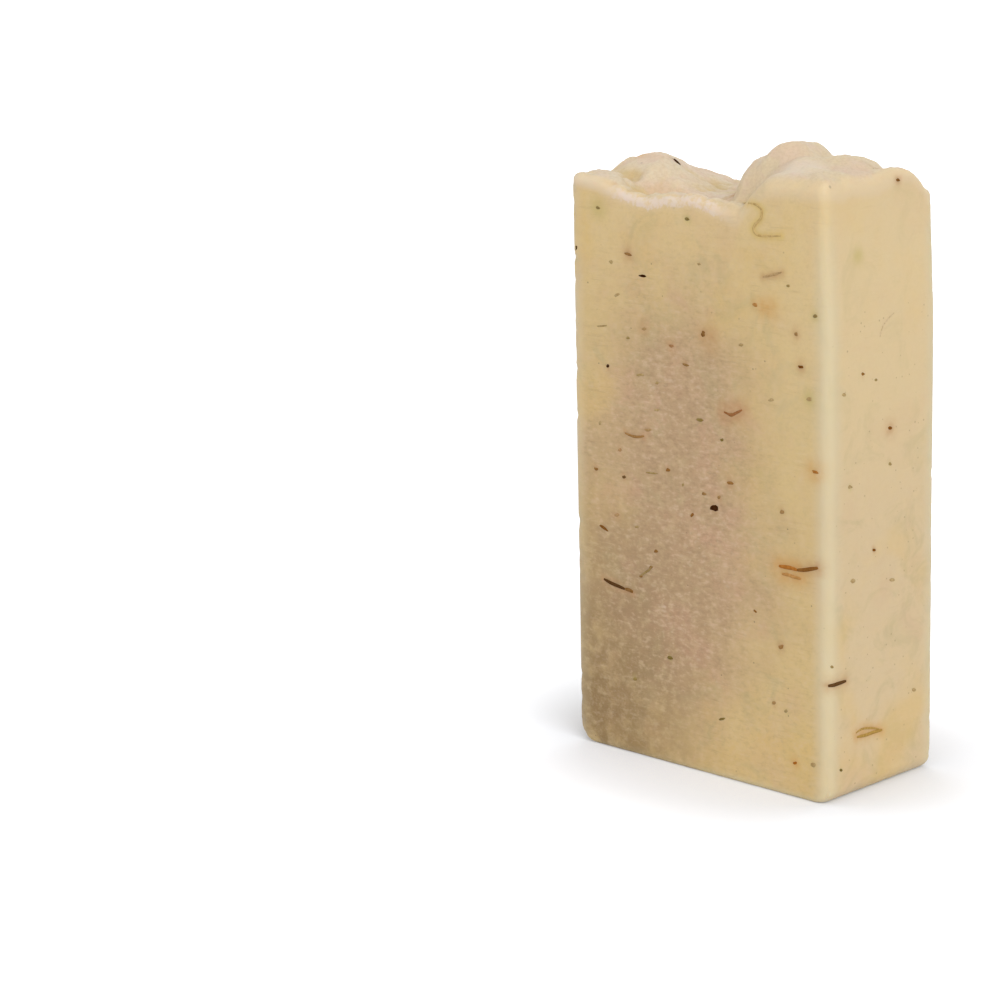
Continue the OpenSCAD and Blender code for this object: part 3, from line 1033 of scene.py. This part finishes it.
def floor_material():
    """A white floor that keeps the bar's shadow, with a painted shadow at its foot where less glow makes it
    darkest; it looks white away from it.
    """
    material = new_material("white_floor")
    g = Graph(material.node_tree)
    white = g.node("BsdfDiffuse", {"Color": linear(FLOOR_COLOUR)})
    near = g.node("AmbientOcclusion", {"Distance": CONTACT_REACH}, samples=CONTACT_SAMPLES).outputs["AO"]
    # Half of what a place on the floor sees is open, even right beside a wall
    clear = g.node("MapRange", {"Value": near, "From Min": 0.5, "From Max": 1.0}).outputs["Result"]
    # Less glow close to the bar paints a shadow at its foot
    glow = g.node("MapRange", {"Value": g.math("POWER", clear, CONTACT_POWER), "To Min": CONTACT_GLOW,
                               "To Max": FLOOR_GLOW}).outputs["Result"]
    light = g.node("Emission", {"Color": (1, 1, 1, 1), "Strength": g.times(g.seen_directly(), glow)})
    both = g.node("AddShader", {0: white.outputs[0], 1: light.outputs[0]})
    g.node("OutputMaterial", {"Surface": both.outputs[0]})
    return material


def add_camera():
    data = bpy.data.cameras.new("photo_camera")
    data.sensor_width = SENSOR_MM
    data.lens = FOCAL_PX * SENSOR_MM / PHOTO_PX
    data.clip_start, data.clip_end = 0.01, 20
    camera = bpy.data.objects.new("photo_camera", data)
    upward = CAMERA_UP.normalized()
    axes = Matrix((LOOK.cross(upward), upward, -LOOK)).transposed()
    camera.matrix_world = Matrix.Translation(CAMERA_AT) @ axes.to_4x4()
    bpy.context.scene.collection.objects.link(camera)
    bpy.context.scene.camera = camera


def add_lights():
    for name, (way, width, strength) in LAMPS.items():
        data = bpy.data.lights.new(name, "SUN")
        data.angle, data.energy = math.radians(width), strength
        lamp = bpy.data.objects.new(name, data)
        lamp.location = way
        lamp.rotation_euler = (-Vector(way)).to_track_quat("-Z", "Y").to_euler()
        bpy.context.scene.collection.objects.link(lamp)


def add_world():
    """Even light from all round, which looks white where the camera sees it."""
    world = bpy.data.worlds.new("studio")
    world.use_nodes = True
    g = Graph(world.node_tree)
    strength = g.node("MapRange", {"Value": g.seen_directly(), "To Min": WORLD_LIGHT}).outputs["Result"]
    background = g.node("Background", {"Color": (1, 1, 1, 1), "Strength": strength})
    g.node("OutputWorld", {"Surface": background.outputs[0]})
    bpy.context.scene.world = world


def add_floor():
    s = FLOOR_SIZE
    corners = [(-s, -s, 0), (s, -s, 0), (s, s, 0), (-s, s, 0)]
    floor = mesh_object("floor", corners, [(0, 1, 2, 3)], floor_material())


add_camera()
add_lights()
add_world()
add_floor()

points, faces, values = soap_mesh(PouredTop(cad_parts[NODE]))
soap = mesh_object("soap_surface", points, faces, soap_material())
herbs = Herbs(soap)
herbs.seen()
herbs.hidden()
write_values(soap, values)
write_values(soap, herbs.stain_values(points))
flecks = herbs.build(herb_material())

for piece in (soap, flecks):
    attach(piece, "root")
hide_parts(NODE)

bpy.context.scene.view_settings.view_transform = "Standard"
